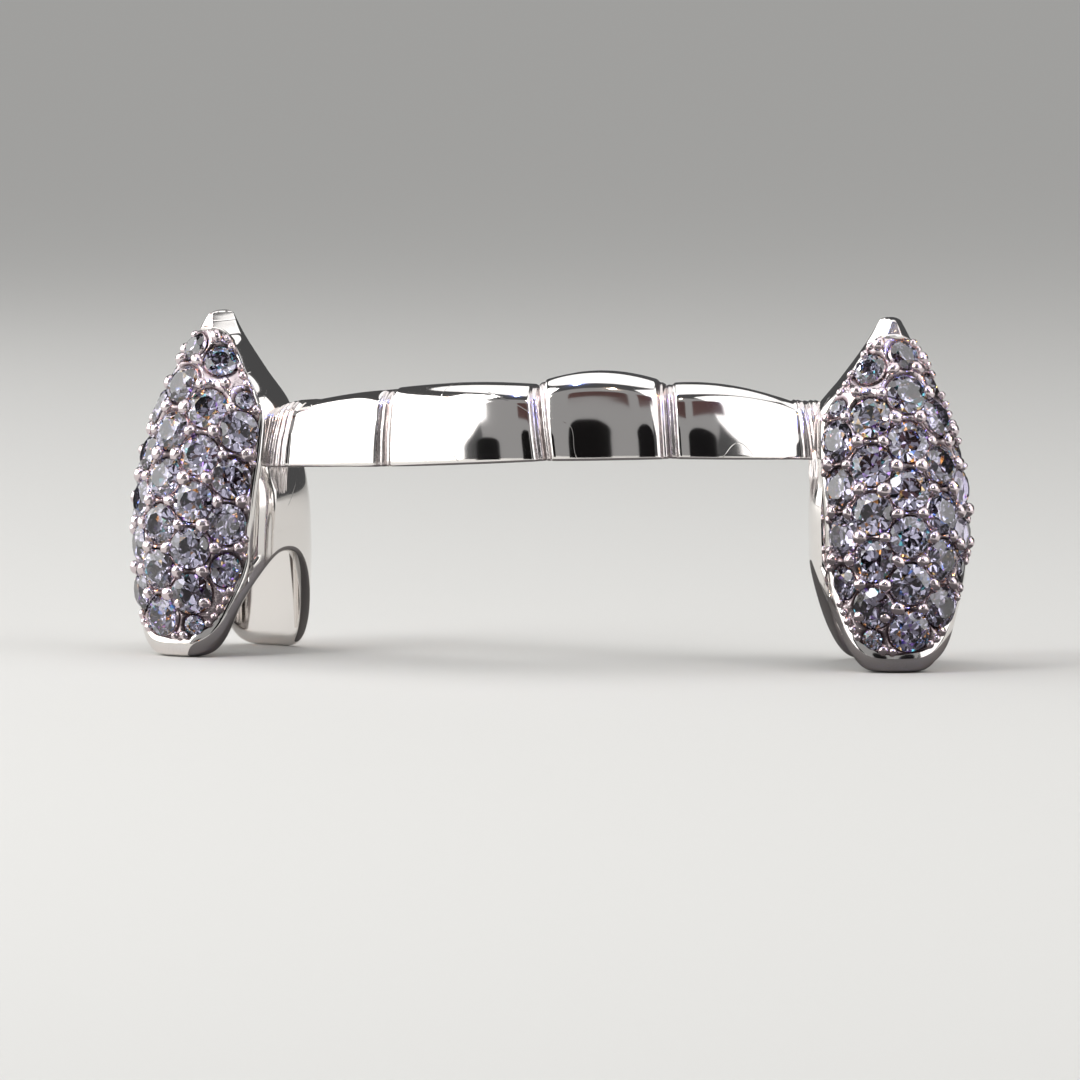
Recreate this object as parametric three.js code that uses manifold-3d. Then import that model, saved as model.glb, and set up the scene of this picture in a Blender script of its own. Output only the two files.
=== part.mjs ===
// Front bar fang grillz for the lower front teeth: two hollow caps for the canines, each with a
// raised pointed face set with round stones, and a polished bar over the edges of the four
// incisors between them. It stands on the gum rims of its caps with the fang tips up.
// Millimetres, +Z up, -Y toward the viewer, origin in the middle of its footprint.
import * as THREE from "three";
import { mergeVertices } from "three/addons/utils/BufferGeometryUtils.js";
import Module from "manifold-3d";

// Where the two fangs stand and how far each one is turned outward.
const TIP_HALF_SPAN = 13.73;
const FANG_Y = 1.139;
const FANG_TURN = THREE.MathUtils.degToRad(18);

// Sections of a fang's stone-set face: distances from its upright axis to the sides at each height.
const FACE_ROUNDNESS = 2.25;
const FACE_SECTIONS = [
  { z: 0.0, mesial: 2.75, distal: 2.75, labial: 3.6, lingual: 2.2 },
  { z: 1.8, mesial: 2.75, distal: 2.9, labial: 3.85, lingual: 2.2 },
  { z: 3.8, mesial: 2.8, distal: 3.0, labial: 4.05, lingual: 2.2 },
  { z: 6.3, mesial: 2.95, distal: 3.05, labial: 3.85, lingual: 2.2 },
  { z: 8.6, mesial: 3.1, distal: 2.75, labial: 3.25, lingual: 1.9 },
  { z: 10.1, mesial: 2.95, distal: 2.25, labial: 2.75, lingual: 1.5 },
  { z: 11.4, mesial: 1.95, distal: 1.7, labial: 2.15, lingual: 1.0 },
  { z: 12.7, mesial: 1.0, distal: 0.95, labial: 1.45, lingual: 0.55 },
  { z: 13.8, mesial: 0.36, distal: 0.4, labial: 0.8, lingual: 0.25 },
];

// Sections of the plain cap behind the face, which goes round the whole tooth.
const CAP_ROUNDNESS = 2.35;
const CAP_SECTIONS = [
  { z: 0.0, mesial: 2.95, distal: 2.85, labial: 3.3, lingual: 3.6 },
  { z: 2.0, mesial: 3.05, distal: 2.9, labial: 3.4, lingual: 3.65 },
  { z: 4.5, mesial: 3.15, distal: 2.95, labial: 3.4, lingual: 3.65 },
  { z: 7.0, mesial: 3.15, distal: 2.8, labial: 3.05, lingual: 3.15 },
  { z: 9.0, mesial: 2.7, distal: 2.35, labial: 2.5, lingual: 2.35 },
  { z: 11.0, mesial: 1.6, distal: 1.55, labial: 1.7, lingual: 1.3 },
  { z: 12.7, mesial: 0.75, distal: 0.75, labial: 1.0, lingual: 0.6 },
  { z: 13.76, mesial: 0.3, distal: 0.33, labial: 0.6, lingual: 0.22 },
];

// The gum rim is level at the front and the back of a cap and climbs at its two sides.
const RIM_RISE = 4.5;
const RIM_POWER = 2.8;
const RIM_FLAT = 0.2;

// The hollow for the tooth, straight at its mouth and closing toward the biting edge.
const HOLLOW_ROUNDNESS = 2.8;
const HOLLOW_SECTIONS = [
  { z: -1.0, mesial: 2.5, distal: 2.45, labial: 2.6, lingual: 3.1 },
  { z: 3.0, mesial: 2.5, distal: 2.42, labial: 2.65, lingual: 3.1 },
  { z: 5.5, mesial: 2.45, distal: 2.3, labial: 2.5, lingual: 2.8 },
  { z: 8.0, mesial: 2.15, distal: 1.85, labial: 1.9, lingual: 1.95 },
  { z: 9.6, mesial: 1.2, distal: 1.0, labial: 0.9, lingual: 0.9 },
];

// The outline of the stone field on a face, which keeps clear of the gum rim, the plain border
// round it and the tray for its bed.
const FIELD_MESIAL = THREE.MathUtils.degToRad(-62);
const FIELD_DISTAL = THREE.MathUtils.degToRad(74);
const FIELD_LOW = 0.7;
const FIELD_TOP = 12.8;
const FACE_TOP = 13.8;
const FACE_RADIUS = 3.2;
const PLATE_DEPTH = 1.6;
const OVERSHOOT = 0.8;
const BORDER = 0.36;
const BED_DEPTH = 0.45;
const BED_GAP = 0.1;
const SIDE_INSET = 0.2;

// The stones, in columns that are half a pitch out of step, and the grains that hold them.
const STONE_RADIUS = 0.82;
const STONE_PITCH = 1.85;
const COLUMN_PITCH = 1.48;
const COLUMN_SHIFT = 0.45;
const OUTER_COLUMN = 3;
const STONE_SIZES = [1, 0.8, 0.6];
const END_STONES = [0.75, 0.6, 0.48];
const END_SPACING = 1.04;
const LOWEST_STONE = 1.65;
const STONE_SIDES = 8;
const CROWN_HEIGHT = 0.25;
const TABLE_RADIUS = 0.43;
const GIRDLE_SINK = 0.05;
const GRAIN_RADIUS = 0.25;
const GRAIN_SIDES = 6;

// The bar from the viewer's left to right: its four teeth and the tail at each end in a cap.
const BAR_TEETH = [
  { start: -12.3, end: -10.7, low: [7.6, 7.6], top: [10.3, 10.1, 10.0], bulge: 0, depth: [0.45, 0.74] },
  { start: -10.7, end: -5.8, low: [7.6, 7.83], top: [10.0, 10.55, 10.85], bulge: 0.3, depth: [0.74, 1] },
  { start: -5.8, end: 0.94, low: [7.83, 8.24], top: [10.9, 11.2, 11.15], bulge: 0.34, depth: [1, 1] },
  { start: 0.94, end: 5.8, low: [8.24, 8.32], top: [11.3, 11.72, 11.25], bulge: 0.3, depth: [1, 1] },
  { start: 5.8, end: 10.7, low: [8.32, 8.2], top: [11.2, 11.1, 10.3], bulge: 0.3, depth: [1, 0.74] },
  { start: 10.7, end: 12.3, low: [8.2, 8.2], top: [10.3, 10.4, 10.6], bulge: 0, depth: [0.74, 0.45] },
];
const BAR_FRONT_Y = -4.581;
const ARCH_BEND = 0.0397;
const ARCH_END = 10.9;
const BAR_HEIGHT = 3;
const BAR_DEPTH = 2.9;
const BAR_WALL = 0.7;
const BAR_ROOF = 0.9;
const BAR_EDGE_RADIUS = 0.75;
const BAR_LEAN = 0.35;
const BAR_STEPS = 6;

const polishedMetal = new THREE.MeshStandardMaterial({ color: 0xd9d8d6, roughness: 0.12, metalness: 1 });
const paveStones = new THREE.MeshStandardMaterial({ color: 0xc3cbdc, roughness: 0.08, metalness: 0.35 });

const solids = await Module();
solids.setup();

// Turns a closed geometry into a solid that can be joined and cut.
function solidFrom(geometry) {
  const bare = geometry.clone();
  bare.deleteAttribute("normal");
  bare.deleteAttribute("uv");
  const merged = mergeVertices(bare, 1e-5);
  return new solids.Manifold(new solids.Mesh({
    numProp: 3,
    vertProperties: new Float32Array(merged.attributes.position.array),
    triVerts: new Uint32Array(merged.index.array),
  }));
}

function geometryFrom(solid) {
  const { vertProperties, triVerts } = solid.getMesh();
  const geometry = new THREE.BufferGeometry();
  geometry.setAttribute("position", new THREE.BufferAttribute(vertProperties, 3));
  geometry.setIndex(new THREE.BufferAttribute(triVerts, 1));
  return geometry;
}

// Moves every vertex of a geometry to where the given function puts it.
function reshape(geometry, place) {
  const positions = geometry.attributes.position;
  const vertex = new THREE.Vector3();
  for (let i = 0; i < positions.count; i += 1) {
    vertex.fromBufferAttribute(positions, i);
    const moved = place(vertex);
    positions.setXYZ(i, moved.x, moved.y, moved.z);
  }
  return geometry;
}

// A body of rounded sections. Angle 0 faces the lips and positive angles turn away from the middle.
function roundedBody(rows, roundness) {
  const heights = rows.map((row) => row.z);
  const reaches = rows.flatMap((row) => [row.mesial, row.distal, row.labial, row.lingual]);
  const smooth = new THREE.CubicInterpolant(heights, reaches, 4);
  return (angle, z, inset = 0) => {
    const [mesial, distal, labial, lingual] = smooth.evaluate(z);
    const across = Math.sin(angle);
    const forward = Math.cos(angle);
    const halfWidth = Math.max((across < 0 ? mesial : distal) - inset * SIDE_INSET, 0.05);
    const halfDepth = Math.max((forward > 0 ? labial : lingual) - inset, 0.05);
    const x = halfWidth * Math.sign(across) * Math.abs(across) ** (2 / roundness);
    const y = -halfDepth * Math.sign(forward) * Math.abs(forward) ** (2 / roundness);
    return new THREE.Vector3(x, y, z);
  };
}

const facePoint = roundedBody(FACE_SECTIONS, FACE_ROUNDNESS);
const capPoint = roundedBody(CAP_SECTIONS, CAP_ROUNDNESS);
const hollowPoint = roundedBody(HOLLOW_SECTIONS, HOLLOW_ROUNDNESS);

function rimHeight(angle) {
  return Math.max(0, RIM_RISE * Math.abs(Math.sin(angle)) ** RIM_POWER - RIM_FLAT);
}

function fieldLow(angle) {
  return FIELD_LOW + rimHeight(angle);
}

// A drum of rings that is bent to a body's sections, from a low edge that can rise and fall.
function drumSolid(point, rings, segments, lowEdge, top) {
  const profile = [new THREE.Vector2(0, 0), new THREE.Vector2(0.4, 0)];
  for (let i = 0; i <= rings; i += 1) {
    profile.push(new THREE.Vector2(1, i / rings));
  }
  profile.push(new THREE.Vector2(0, 1));
  return solidFrom(reshape(new THREE.LatheGeometry(profile, segments), (v) => {
    const radius = Math.hypot(v.x, v.z);
    const angle = Math.atan2(v.x, v.z);
    const low = radius < 0.01 ? lowEdge(Math.PI / 4) : lowEdge(angle);
    const z = THREE.MathUtils.lerp(low, top, v.y);
    const edge = point(angle, z);
    return new THREE.Vector3(edge.x * radius, edge.y * radius, z);
  }));
}

// A block of the face's skin over the stone field, widened by a margin, down to a depth.
function fieldBlock(margin, top, depth) {
  const turn = margin / FACE_RADIUS;
  return solidFrom(reshape(new THREE.BoxGeometry(1, 1, 1, 12, 1, 10), (v) => {
    const angle = THREE.MathUtils.lerp(FIELD_MESIAL - turn, FIELD_DISTAL + turn, v.x + 0.5);
    const z = THREE.MathUtils.lerp(fieldLow(angle) - margin, top, v.z + 0.5);
    return facePoint(angle, z, v.y < 0 ? -OVERSHOOT : depth);
  }));
}

// Angle round a face after walking a distance along it from the middle of the lip side.
function angleAlong(distance, z) {
  const step = Math.sign(distance) * 0.01;
  let angle = 0;
  let walked = 0;
  let from = facePoint(0, z);
  while (walked < Math.abs(distance) && Math.abs(angle) < Math.PI) {
    angle += step;
    const to = facePoint(angle, z);
    walked += to.distanceTo(from);
    from = to;
  }
  return angle;
}

// Whether a disc that lies on the face at a place stays inside the stone field.
function fits(distance, z, reach) {
  for (let i = 0; i < 12; i += 1) {
    const turn = (i * Math.PI) / 6;
    const height = Math.min(z + reach * Math.sin(turn), FACE_TOP);
    const angle = angleAlong(distance + reach * Math.cos(turn), height);
    const inside = angle > FIELD_MESIAL && angle < FIELD_DISTAL && height < FIELD_TOP;
    if (!inside || height < fieldLow(angle)) {
      return false;
    }
  }
  return true;
}

// Stands a small piece on the face, with its own +Y axis pointing out of the face.
function onFace(geometry, distance, z, spin, sink) {
  const angle = angleAlong(distance, z);
  const around = facePoint(angle + 0.02, z).sub(facePoint(angle - 0.02, z));
  const upward = facePoint(angle, z + 0.05).sub(facePoint(angle, z - 0.05));
  const outward = around.cross(upward).normalize();
  const turn = new THREE.Quaternion().setFromUnitVectors(new THREE.Vector3(0, 1, 0), outward);
  const place = new THREE.Matrix4().makeRotationFromQuaternion(turn);
  place.setPosition(facePoint(angle, z).addScaledVector(outward, -sink));
  return solidFrom(geometry.clone().rotateY(spin).applyMatrix4(place));
}

// The largest stone that stays inside the field at a place.
function stoneAt(distance, z, sizes) {
  const size = sizes.find((scale) => fits(distance, z, STONE_RADIUS * scale * 0.9));
  return size ? [{ distance, z, size }] : [];
}

// Where the stones stand: each column climbs by the pitch, every other one half a pitch higher.
// Beyond both ends of a column comes a smaller stone, close to the last one, where the field has room.
function stonePlaces() {
  const places = [];
  for (let column = -OUTER_COLUMN; column <= OUTER_COLUMN; column += 1) {
    const distance = COLUMN_SHIFT + column * COLUMN_PITCH;
    const first = LOWEST_STONE - STONE_PITCH + (Math.abs(column) % 2) * (STONE_PITCH / 2);
    const stack = [];
    for (let z = first; z < FIELD_TOP; z += STONE_PITCH) {
      stack.push(...stoneAt(distance, z, STONE_SIZES));
    }
    places.push(...stack);
    for (const [last, way] of stack.length ? [[stack[0], -1], [stack.at(-1), 1]] : []) {
      const fillers = END_STONES.flatMap((size) => {
        const beyond = last.z + way * (last.size + size) * STONE_RADIUS * END_SPACING;
        return stoneAt(distance, beyond, [size]);
      });
      places.push(...fillers.slice(0, 1));
    }
  }
  return places;
}

// A round cut stone: a flat table, a ring of crown facets and a cone below the girdle.
function cutStone() {
  const profile = [
    new THREE.Vector2(0, -0.12),
    new THREE.Vector2(STONE_RADIUS, 0),
    new THREE.Vector2(TABLE_RADIUS, CROWN_HEIGHT),
    new THREE.Vector2(0, CROWN_HEIGHT),
  ];
  return new THREE.LatheGeometry(profile, STONE_SIDES);
}

function grain() {
  const profile = [
    new THREE.Vector2(0, -0.14),
    new THREE.Vector2(GRAIN_RADIUS, 0.08),
    new THREE.Vector2(GRAIN_RADIUS * 0.55, 0.24),
    new THREE.Vector2(0, 0.28),
  ];
  return new THREE.LatheGeometry(profile, GRAIN_SIDES);
}

// The bed with its stones and, beside each gap in a column, the grains that hold them.
function paveSolid(face) {
  const pieces = [face.intersect(fieldBlock(0, FIELD_TOP, BED_DEPTH))];
  const stone = cutStone();
  const bead = grain();
  stonePlaces().forEach(({ distance, z, size }, i) => {
    const cut = stone.clone().scale(size, 1, size);
    pieces.push(onFace(cut, distance, z, i * 2.4, GIRDLE_SINK));
    const above = z + STONE_PITCH / 2;
    for (const beside of [distance - COLUMN_PITCH / 3, distance + COLUMN_PITCH / 3]) {
      if (fits(beside, above, GRAIN_RADIUS + BED_GAP)) {
        pieces.push(onFace(bead, beside, above, 0, 0));
      }
    }
  });
  return solids.Manifold.union(pieces);
}

// Height along a tooth's top edge from its marks at the start, the middle and the end.
function crest([start, middle, end], f) {
  const rise = middle - (start + end) / 2;
  return THREE.MathUtils.lerp(start, end, f) + rise * 4 * f * (1 - f);
}

// The channel section of the bar, x from its lip side to its tongue side and y from low edge to top.
function channelSection() {
  const r = BAR_EDGE_RADIUS;
  const section = new THREE.Shape();
  section.moveTo(0, 0);
  section.lineTo(BAR_WALL, 0);
  section.lineTo(BAR_WALL + BAR_LEAN, BAR_HEIGHT - BAR_ROOF);
  section.lineTo(BAR_DEPTH - BAR_WALL - BAR_LEAN, BAR_HEIGHT - BAR_ROOF);
  section.lineTo(BAR_DEPTH - BAR_WALL, 0);
  section.lineTo(BAR_DEPTH, 0);
  section.lineTo(BAR_DEPTH - BAR_LEAN, BAR_HEIGHT - r);
  section.absarc(BAR_DEPTH - BAR_LEAN - r, BAR_HEIGHT - r, r, 0, Math.PI / 2);
  section.absarc(BAR_LEAN * 0.5 + r, BAR_HEIGHT - r, r, Math.PI / 2, Math.PI);
  section.closePath();
  return section;
}

// The straight channel bent along the arch, with a swell on the lip side of each tooth.
function barSolid() {
  const straight = new THREE.ExtrudeGeometry(channelSection(), {
    depth: BAR_TEETH.length,
    steps: BAR_TEETH.length * BAR_STEPS,
    curveSegments: 2,
    bevelEnabled: false,
  });
  return solidFrom(reshape(straight, (v) => {
    const index = Math.min(Math.floor(v.z + 1e-6), BAR_TEETH.length - 1);
    const tooth = BAR_TEETH[index];
    const f = 0.5 - 0.5 * Math.cos(Math.PI * (v.z - index));
    const x = THREE.MathUtils.lerp(tooth.start, tooth.end, f);
    const low = THREE.MathUtils.lerp(tooth.low[0], tooth.low[1], f);
    const z = THREE.MathUtils.lerp(low, crest(tooth.top, f), v.y / BAR_HEIGHT);
    const swell = tooth.bulge * Math.sin(Math.PI * f) ** 0.8 * (1 - v.x / BAR_DEPTH);
    const behind = v.x * THREE.MathUtils.lerp(tooth.depth[0], tooth.depth[1], f) - swell;
    const reach = THREE.MathUtils.clamp(x, -ARCH_END, ARCH_END);
    const inward = new THREE.Vector2(-ARCH_BEND * reach, 1).normalize().multiplyScalar(behind);
    return new THREE.Vector3(x + inward.x, BAR_FRONT_Y + ARCH_BEND * reach * reach + inward.y, z);
  }));
}

// A place for one fang, turned outward; the left one is the mirror image of the right one.
function fangGroup(name, side) {
  const group = new THREE.Group();
  group.name = name;
  group.position.set(side * TIP_HALF_SPAN, FANG_Y, 0);
  group.rotation.z = side * FANG_TURN;
  group.scale.x = side;
  group.updateMatrix();
  return group;
}

const leftFang = fangGroup("left_fang", -1);
const rightFang = fangGroup("right_fang", 1);

const cap = drumSolid(capPoint, 9, 28, rimHeight, CAP_SECTIONS.at(-1).z);
const face = drumSolid(facePoint, 12, 32, () => 0, FACE_TOP);
const plate = face.intersect(fieldBlock(BORDER, FACE_TOP + OVERSHOOT, PLATE_DEPTH));
const hollow = drumSolid(hollowPoint, 6, 24, () => HOLLOW_SECTIONS[0].z, HOLLOW_SECTIONS.at(-1).z);
const tray = fieldBlock(BED_GAP, FIELD_TOP + BED_GAP, BED_DEPTH + BED_GAP);
const fang = cap.add(plate);

let metal = barSolid();
for (const group of [leftFang, rightFang]) {
  metal = metal.add(fang.transform(group.matrix.elements));
}
for (const group of [leftFang, rightFang]) {
  metal = metal.subtract(hollow.transform(group.matrix.elements));
  metal = metal.subtract(tray.transform(group.matrix.elements));
}

const frame = new THREE.Mesh(geometryFrom(metal), polishedMetal);
frame.name = "bar_and_fang_caps";

const pave = geometryFrom(paveSolid(face));
for (const [group, name] of [[leftFang, "left_pave"], [rightFang, "right_pave"]]) {
  const field = new THREE.Mesh(pave, paveStones);
  field.name = name;
  group.add(field);
}

const grillz = new THREE.Group();
grillz.name = "front_bar_fang_grillz";
grillz.add(frame, leftFang, rightFang);

export default grillz;
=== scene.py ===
"""Front bar fang grillz: two stone-set fang caps joined by a polished bar, resting on the gum rims."""
import math
import random
from collections import namedtuple

import bmesh
import bpy
import numpy as np
from bmesh.types import BMEdge, BMVert
from bpy.props import FloatProperty, FloatVectorProperty, PointerProperty
from mathutils import Matrix, Vector


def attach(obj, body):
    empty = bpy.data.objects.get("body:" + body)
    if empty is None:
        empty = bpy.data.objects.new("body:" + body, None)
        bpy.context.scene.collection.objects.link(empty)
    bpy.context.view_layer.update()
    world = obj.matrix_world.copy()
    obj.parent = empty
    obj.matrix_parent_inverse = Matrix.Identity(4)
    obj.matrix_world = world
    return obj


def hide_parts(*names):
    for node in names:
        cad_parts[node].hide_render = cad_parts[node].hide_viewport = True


bl_info = {
    "name": "Front bar fang grillz",
    "version": (1, 0, 0),
    "blender": (4, 5, 0),
    "location": "View3D > Sidebar > Grillz",
    "description": "Makes the polished bar, the fang caps and their stone fields around the packed part",
    "category": "Add Mesh",
}

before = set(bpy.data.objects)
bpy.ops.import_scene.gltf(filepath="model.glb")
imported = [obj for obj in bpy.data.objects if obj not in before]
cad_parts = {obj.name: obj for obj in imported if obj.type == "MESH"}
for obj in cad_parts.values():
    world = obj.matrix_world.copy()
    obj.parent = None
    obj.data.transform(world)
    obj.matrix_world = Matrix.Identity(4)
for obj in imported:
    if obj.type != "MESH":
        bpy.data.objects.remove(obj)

MM = 0.001
BODY = "root"
METAL_NODE = "bar_and_fang_caps"
# Corners closer than this, in millimetres, are one corner.
MERGE = 1e-4

# Where the two fangs stand, in millimetres, and how far each one is turned outward.
TIP_HALF_SPAN = 13.73
FANG_Y = 1.139
FANG_TURN = math.radians(18)
SIDES = {"left": -1, "right": 1}

# Sections of a fang: height, then reach from its axis toward the middle, the cheek, the lips, the tongue.
FACE_ROUNDNESS = 2.25
FACE_SECTIONS = (
    (0.0, 2.75, 2.75, 3.6, 2.2),
    (1.8, 2.75, 2.9, 3.85, 2.2),
    (3.8, 2.8, 3.0, 4.05, 2.2),
    (6.3, 2.95, 3.05, 3.85, 2.2),
    (8.6, 3.1, 2.75, 3.25, 1.9),
    (10.1, 2.95, 2.25, 2.75, 1.5),
    (11.4, 1.95, 1.7, 2.15, 1.0),
    (12.7, 1.0, 0.95, 1.45, 0.55),
    (13.8, 0.36, 0.4, 0.8, 0.25),
)
CAP_ROUNDNESS = 2.35
CAP_SECTIONS = (
    (0.0, 2.95, 2.85, 3.3, 3.6),
    (2.0, 3.05, 2.9, 3.4, 3.65),
    (4.5, 3.15, 2.95, 3.4, 3.65),
    (7.0, 3.15, 2.8, 3.05, 3.15),
    (9.0, 2.7, 2.35, 2.5, 2.35),
    (11.0, 1.6, 1.55, 1.7, 1.3),
    (12.7, 0.75, 0.75, 1.0, 0.6),
    (13.76, 0.3, 0.33, 0.6, 0.22),
)
HOLLOW_ROUNDNESS = 2.8
HOLLOW_SECTIONS = (
    (-1.0, 2.5, 2.45, 2.6, 3.1),
    (3.0, 2.5, 2.42, 2.65, 3.1),
    (5.5, 2.45, 2.3, 2.5, 2.8),
    (8.0, 2.15, 1.85, 1.9, 1.95),
    (9.6, 1.2, 1.0, 0.9, 0.9),
)
FACE_TOP = 13.8
LEAST_REACH = 0.05
# Where a fang is inset under its stones, its sides go in by this share of the inset.
SIDE_INSET = 0.2
BED_INSET = 1.05
# Over how many millimetres a cap's body turns into its face, and its face into the inset.
FACE_BLEND = 0.3
INSET_BLEND = 0.1
# The gum rim's arch: how far it rises at the sides, how fast, and how softly it leaves the level.
RIM_RISE = 4.5
RIM_POWER = 2.8
RIM_FLAT = 0.2
RIM_BLEND = 0.5
# Faces round a cap, and its rows: in the hollow's roof, down the inside, round the gum rim, up the outside,
# along the filed point and over its top.
CAP_AROUND = 128
CAP_ROWS = (3, 22, 8, 60, 44, 8)

# The outline of the stone field on a face, which keeps clear of the gum rim and has round corners.
FIELD_MESIAL = math.radians(-62)
FIELD_DISTAL = math.radians(74)
FIELD_LOW = 0.7
FIELD_TOP = 13.05
SIDE_STEPS = 200
OUTLINE_STEPS = 320
CORNER_STEPS = 6
CORNER_PASSES = 2
# Places on a walk right round the face, by which distances are turned to angles.
WALK_PLACES = 1257
# Heights between which the border changes its width, toward the tip and the rim, and by what share.
BORDER_TIP = (8.8, 10.6, -0.55)
BORDER_FOOT = (2.6, 1.0, 0.6)

# Faces filed on a fang's point: a place on each, and the way it looks, in the fang's own millimetres.
TIP_FACES = (
    ((-0.33, -0.35, 13.5), (-0.77, -0.36, 0.52)),
    ((0.54, -0.4, 13.30), (0.80, -0.25, 0.54)),
    ((0.30, -0.3, 13.68), (0.50, -0.15, 0.85)),
    ((0.0, -1.08, 13.2), (0.0, -0.88, 0.47)),
)
# The heights between which the filed faces begin, and where the top starts to round over.
TIP_FILED = (12.4, 12.9)
TIP_ROUND = 13.62
# Faces of the tip that look this much toward the lips keep their file marks.
FILED_LOOK = -0.7

# The seam below a joint: where its middle is on the cap, its half height, the reach of the cap there, how
# far its ends bend aside, how far it stands out and its edges sink, height and number of its two sets of
# ridges, how these wobble, how far in its back is, and its faces across and up.
SEAM_ANGLE = math.radians(-82)
SEAM_Z = 7.5
SEAM_HALF_HEIGHT = 1.3
SEAM_REACH = 2.9
SEAM_BEND = 0.12
SEAM_RISE = 0.14
SEAM_EDGE = 0.02
SEAM_RIDGES = ((0.035, 15), (0.02, 26))
SEAM_WOBBLE = (0.5, 3.1)
SEAM_BACK = 0.88
SEAM_GRID = (40, 48)

# The stones stand in columns that are half a pitch out of step.
STONE_PITCH = 1.85
COLUMN_PITCH = 1.48
COLUMN_SHIFT = 0.45
OUTER_COLUMN = 3
STONE_SIZES = (1, 0.8, 0.6)
END_STONES = (0.75, 0.6, 0.48, 0.4)
END_SPACING = 1.04
LOWEST_STONE = 1.65
# The share of a stone's radius that has to lie inside the field.
STONE_HELD = 0.9
# Grains stand this far beside the middle of a column, and small ones this many radii inside the border and
# clear of others.
GRAIN_BESIDE = COLUMN_PITCH / 3
BORDER_GRAIN_INSET = 0.9
BORDER_GRAIN_GAP = 0.7
# The drop of metal that a grain is, in radii: where its foot is cut, how flat it is and how far it is raised.
GRAIN_CUT = -0.45
GRAIN_FLAT = 0.85
GRAIN_LIFT = 0.28
GRAIN_SPREAD = (0.8, 1.15)
GRAIN_SEED = 11
# The lip of a seat: radius and height round its section, its faces, how far it sinks and how it tilts.
LIP_SECTION = ((0.97, -0.12), (0.965, -0.02), (0.99, 0.02), (1.02, -0.02), (1.04, -0.12))
LIP_AROUND = 28
LIP_SINK = 0.03
LIP_TILT = (0.03, 0.09)

# The bed between the stones: margin past the field, the reach that makes it an angle, faces across and
# up, and how thick it is.
BED_MARGIN = 0.1
BED_REACH = 3
BED_GRID = (150, 260)
BED_BACK = 0.3
# How a seat goes down: its radius in stone radii, its step and slope at the edge, and its greatest depth.
SEAT_REACH = 1.02
SEAT_STEP = 0.05
SEAT_SLOPE = 0.95
SEAT_DEPTH = (0.8, 0.1)
# How the web stands: dip beside a stone, rise and width of its slope, rise round a grain, greatest height.
WEB_DIP = 0.06
WEB_RISE = 0.1
WEB_SLOPE = 0.25
GRAIN_RISE = 0.1
GRAIN_REACH = 0.26
WEB_TOP = 0.12
# How the bed dips at the field's edge and falls off past it: how far, and between which depths inside it.
EDGE_DIP = (0.2, 0.1, -0.12)
EDGE_FALL = (0.5, -0.1, -0.4)
# The heights between which the web goes from bright to painted shade in its recesses.
RECESS = (0.08, -0.05)

# Facets of a brilliant of radius 1: tilt in degrees, start in steps of 22.5 degrees, number, and the reach
# and height of a place on each.
STONE_AROUND = 32
STONE_TABLE = 0.305
STONE_FACETS = (
    (34, 0, 8, 1.0, 0.0),
    (41, 0.5, 16, 0.995, 0.0),
    (21, 1.0, 8, 0.517, 0.305),
    (139, 0, 8, 1.0, -0.06),
    (137.6, 0.5, 16, 0.995, -0.06),
)
FACET_TURN = math.pi / 4
STONE_LEAN = 0.07
STONE_SEED = 5
# How bright the facets are, and the share of small ones tinted with painted fire, and in which colours.
FACET_TINT = (0.75, 1.0)
PAINTED_FIRE_SHARE = 0.3
PAINTED_FIRE_COLOURS = ("#FF7A1E", "#3C6CFF", "#9A5CFF", "#40E0F0", "#FFB850")
# Facets under this many square millimetres on a main stone are the small ones.
SMALL_FACET = 0.07

# The bar from the viewer's left to right: low edge at both ends of a lobe, top edge at its start, middle
# and end, and share of the bar's depth at both ends.
Lobe = namedtuple("Lobe", "start end low_start low_end top_start top_middle top_end deep_start deep_end")
BAR_LOBES = (
    Lobe(-12.3, -10.7, 7.6, 7.6, 10.3, 10.1, 10.0, 0.45, 0.74),
    Lobe(-10.7, -5.8, 7.6, 7.83, 10.0, 10.55, 10.85, 0.74, 1.0),
    Lobe(-5.8, 0.94, 7.83, 8.24, 10.9, 11.2, 11.15, 1.0, 1.0),
    Lobe(0.94, 5.8, 8.24, 8.32, 11.3, 11.72, 11.25, 1.0, 1.0),
    Lobe(5.8, 10.7, 8.32, 8.2, 11.2, 11.1, 10.3, 1.0, 0.74),
    Lobe(10.7, 12.3, 8.2, 8.2, 10.3, 10.4, 10.6, 0.74, 0.45),
)
LOBE_RINGS = 72
# How far each lobe of the bar swells toward the lips: start, end and swell.
BAR_SWELLS = ((-12.3, -5.8, 0.3), (-5.8, 0.94, 0.34), (0.94, 5.8, 0.3), (5.8, 12.3, 0.3))
# Where the bar is filed between its lobes, and the filed bands where it is soldered to the caps.
BAR_GROOVES = (-5.8, 0.94, 5.8)
BAR_BANDS = ((-10.85, -10.0), (10.42, 11.3))
BAND_RIDGE = 0.21
BAND_RIPPLE = 0.25
BAND_EDGE = 0.08
GROOVE_RIPPLE = 0.03
GROOVE_RIDGES = 10
# The share of a groove's half width, and of the bar's depth, that shows file marks.
FILED_WIDTH = 0.92
FILED_DEPTH = 0.6
# How far the top of the bar leans to the right over its low edge, at places along it.
BAR_LEANS = ((-10.9, 0.16), (-5.8, -0.05), (0.94, -0.45), (5.8, -0.2), (10.8, -0.2))
# Where each end starts to flare toward the lips.
LEFT_FLARE_START = 7.2
RIGHT_FLARE_START = 9.9
BAR_FRONT_Y = -4.581
ARCH_BEND = 0.0397
ARCH_END = 10.9
# The channel section: outside, walls, how far its sides lean and the rounding inside its roof.
BAR_HEIGHT = 3.0
BAR_DEPTH = 2.9
BAR_WALL = 0.7
BAR_ROOF = 0.9
BAR_LEAN = 0.35
ROOF_RADIUS = 0.3
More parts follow.
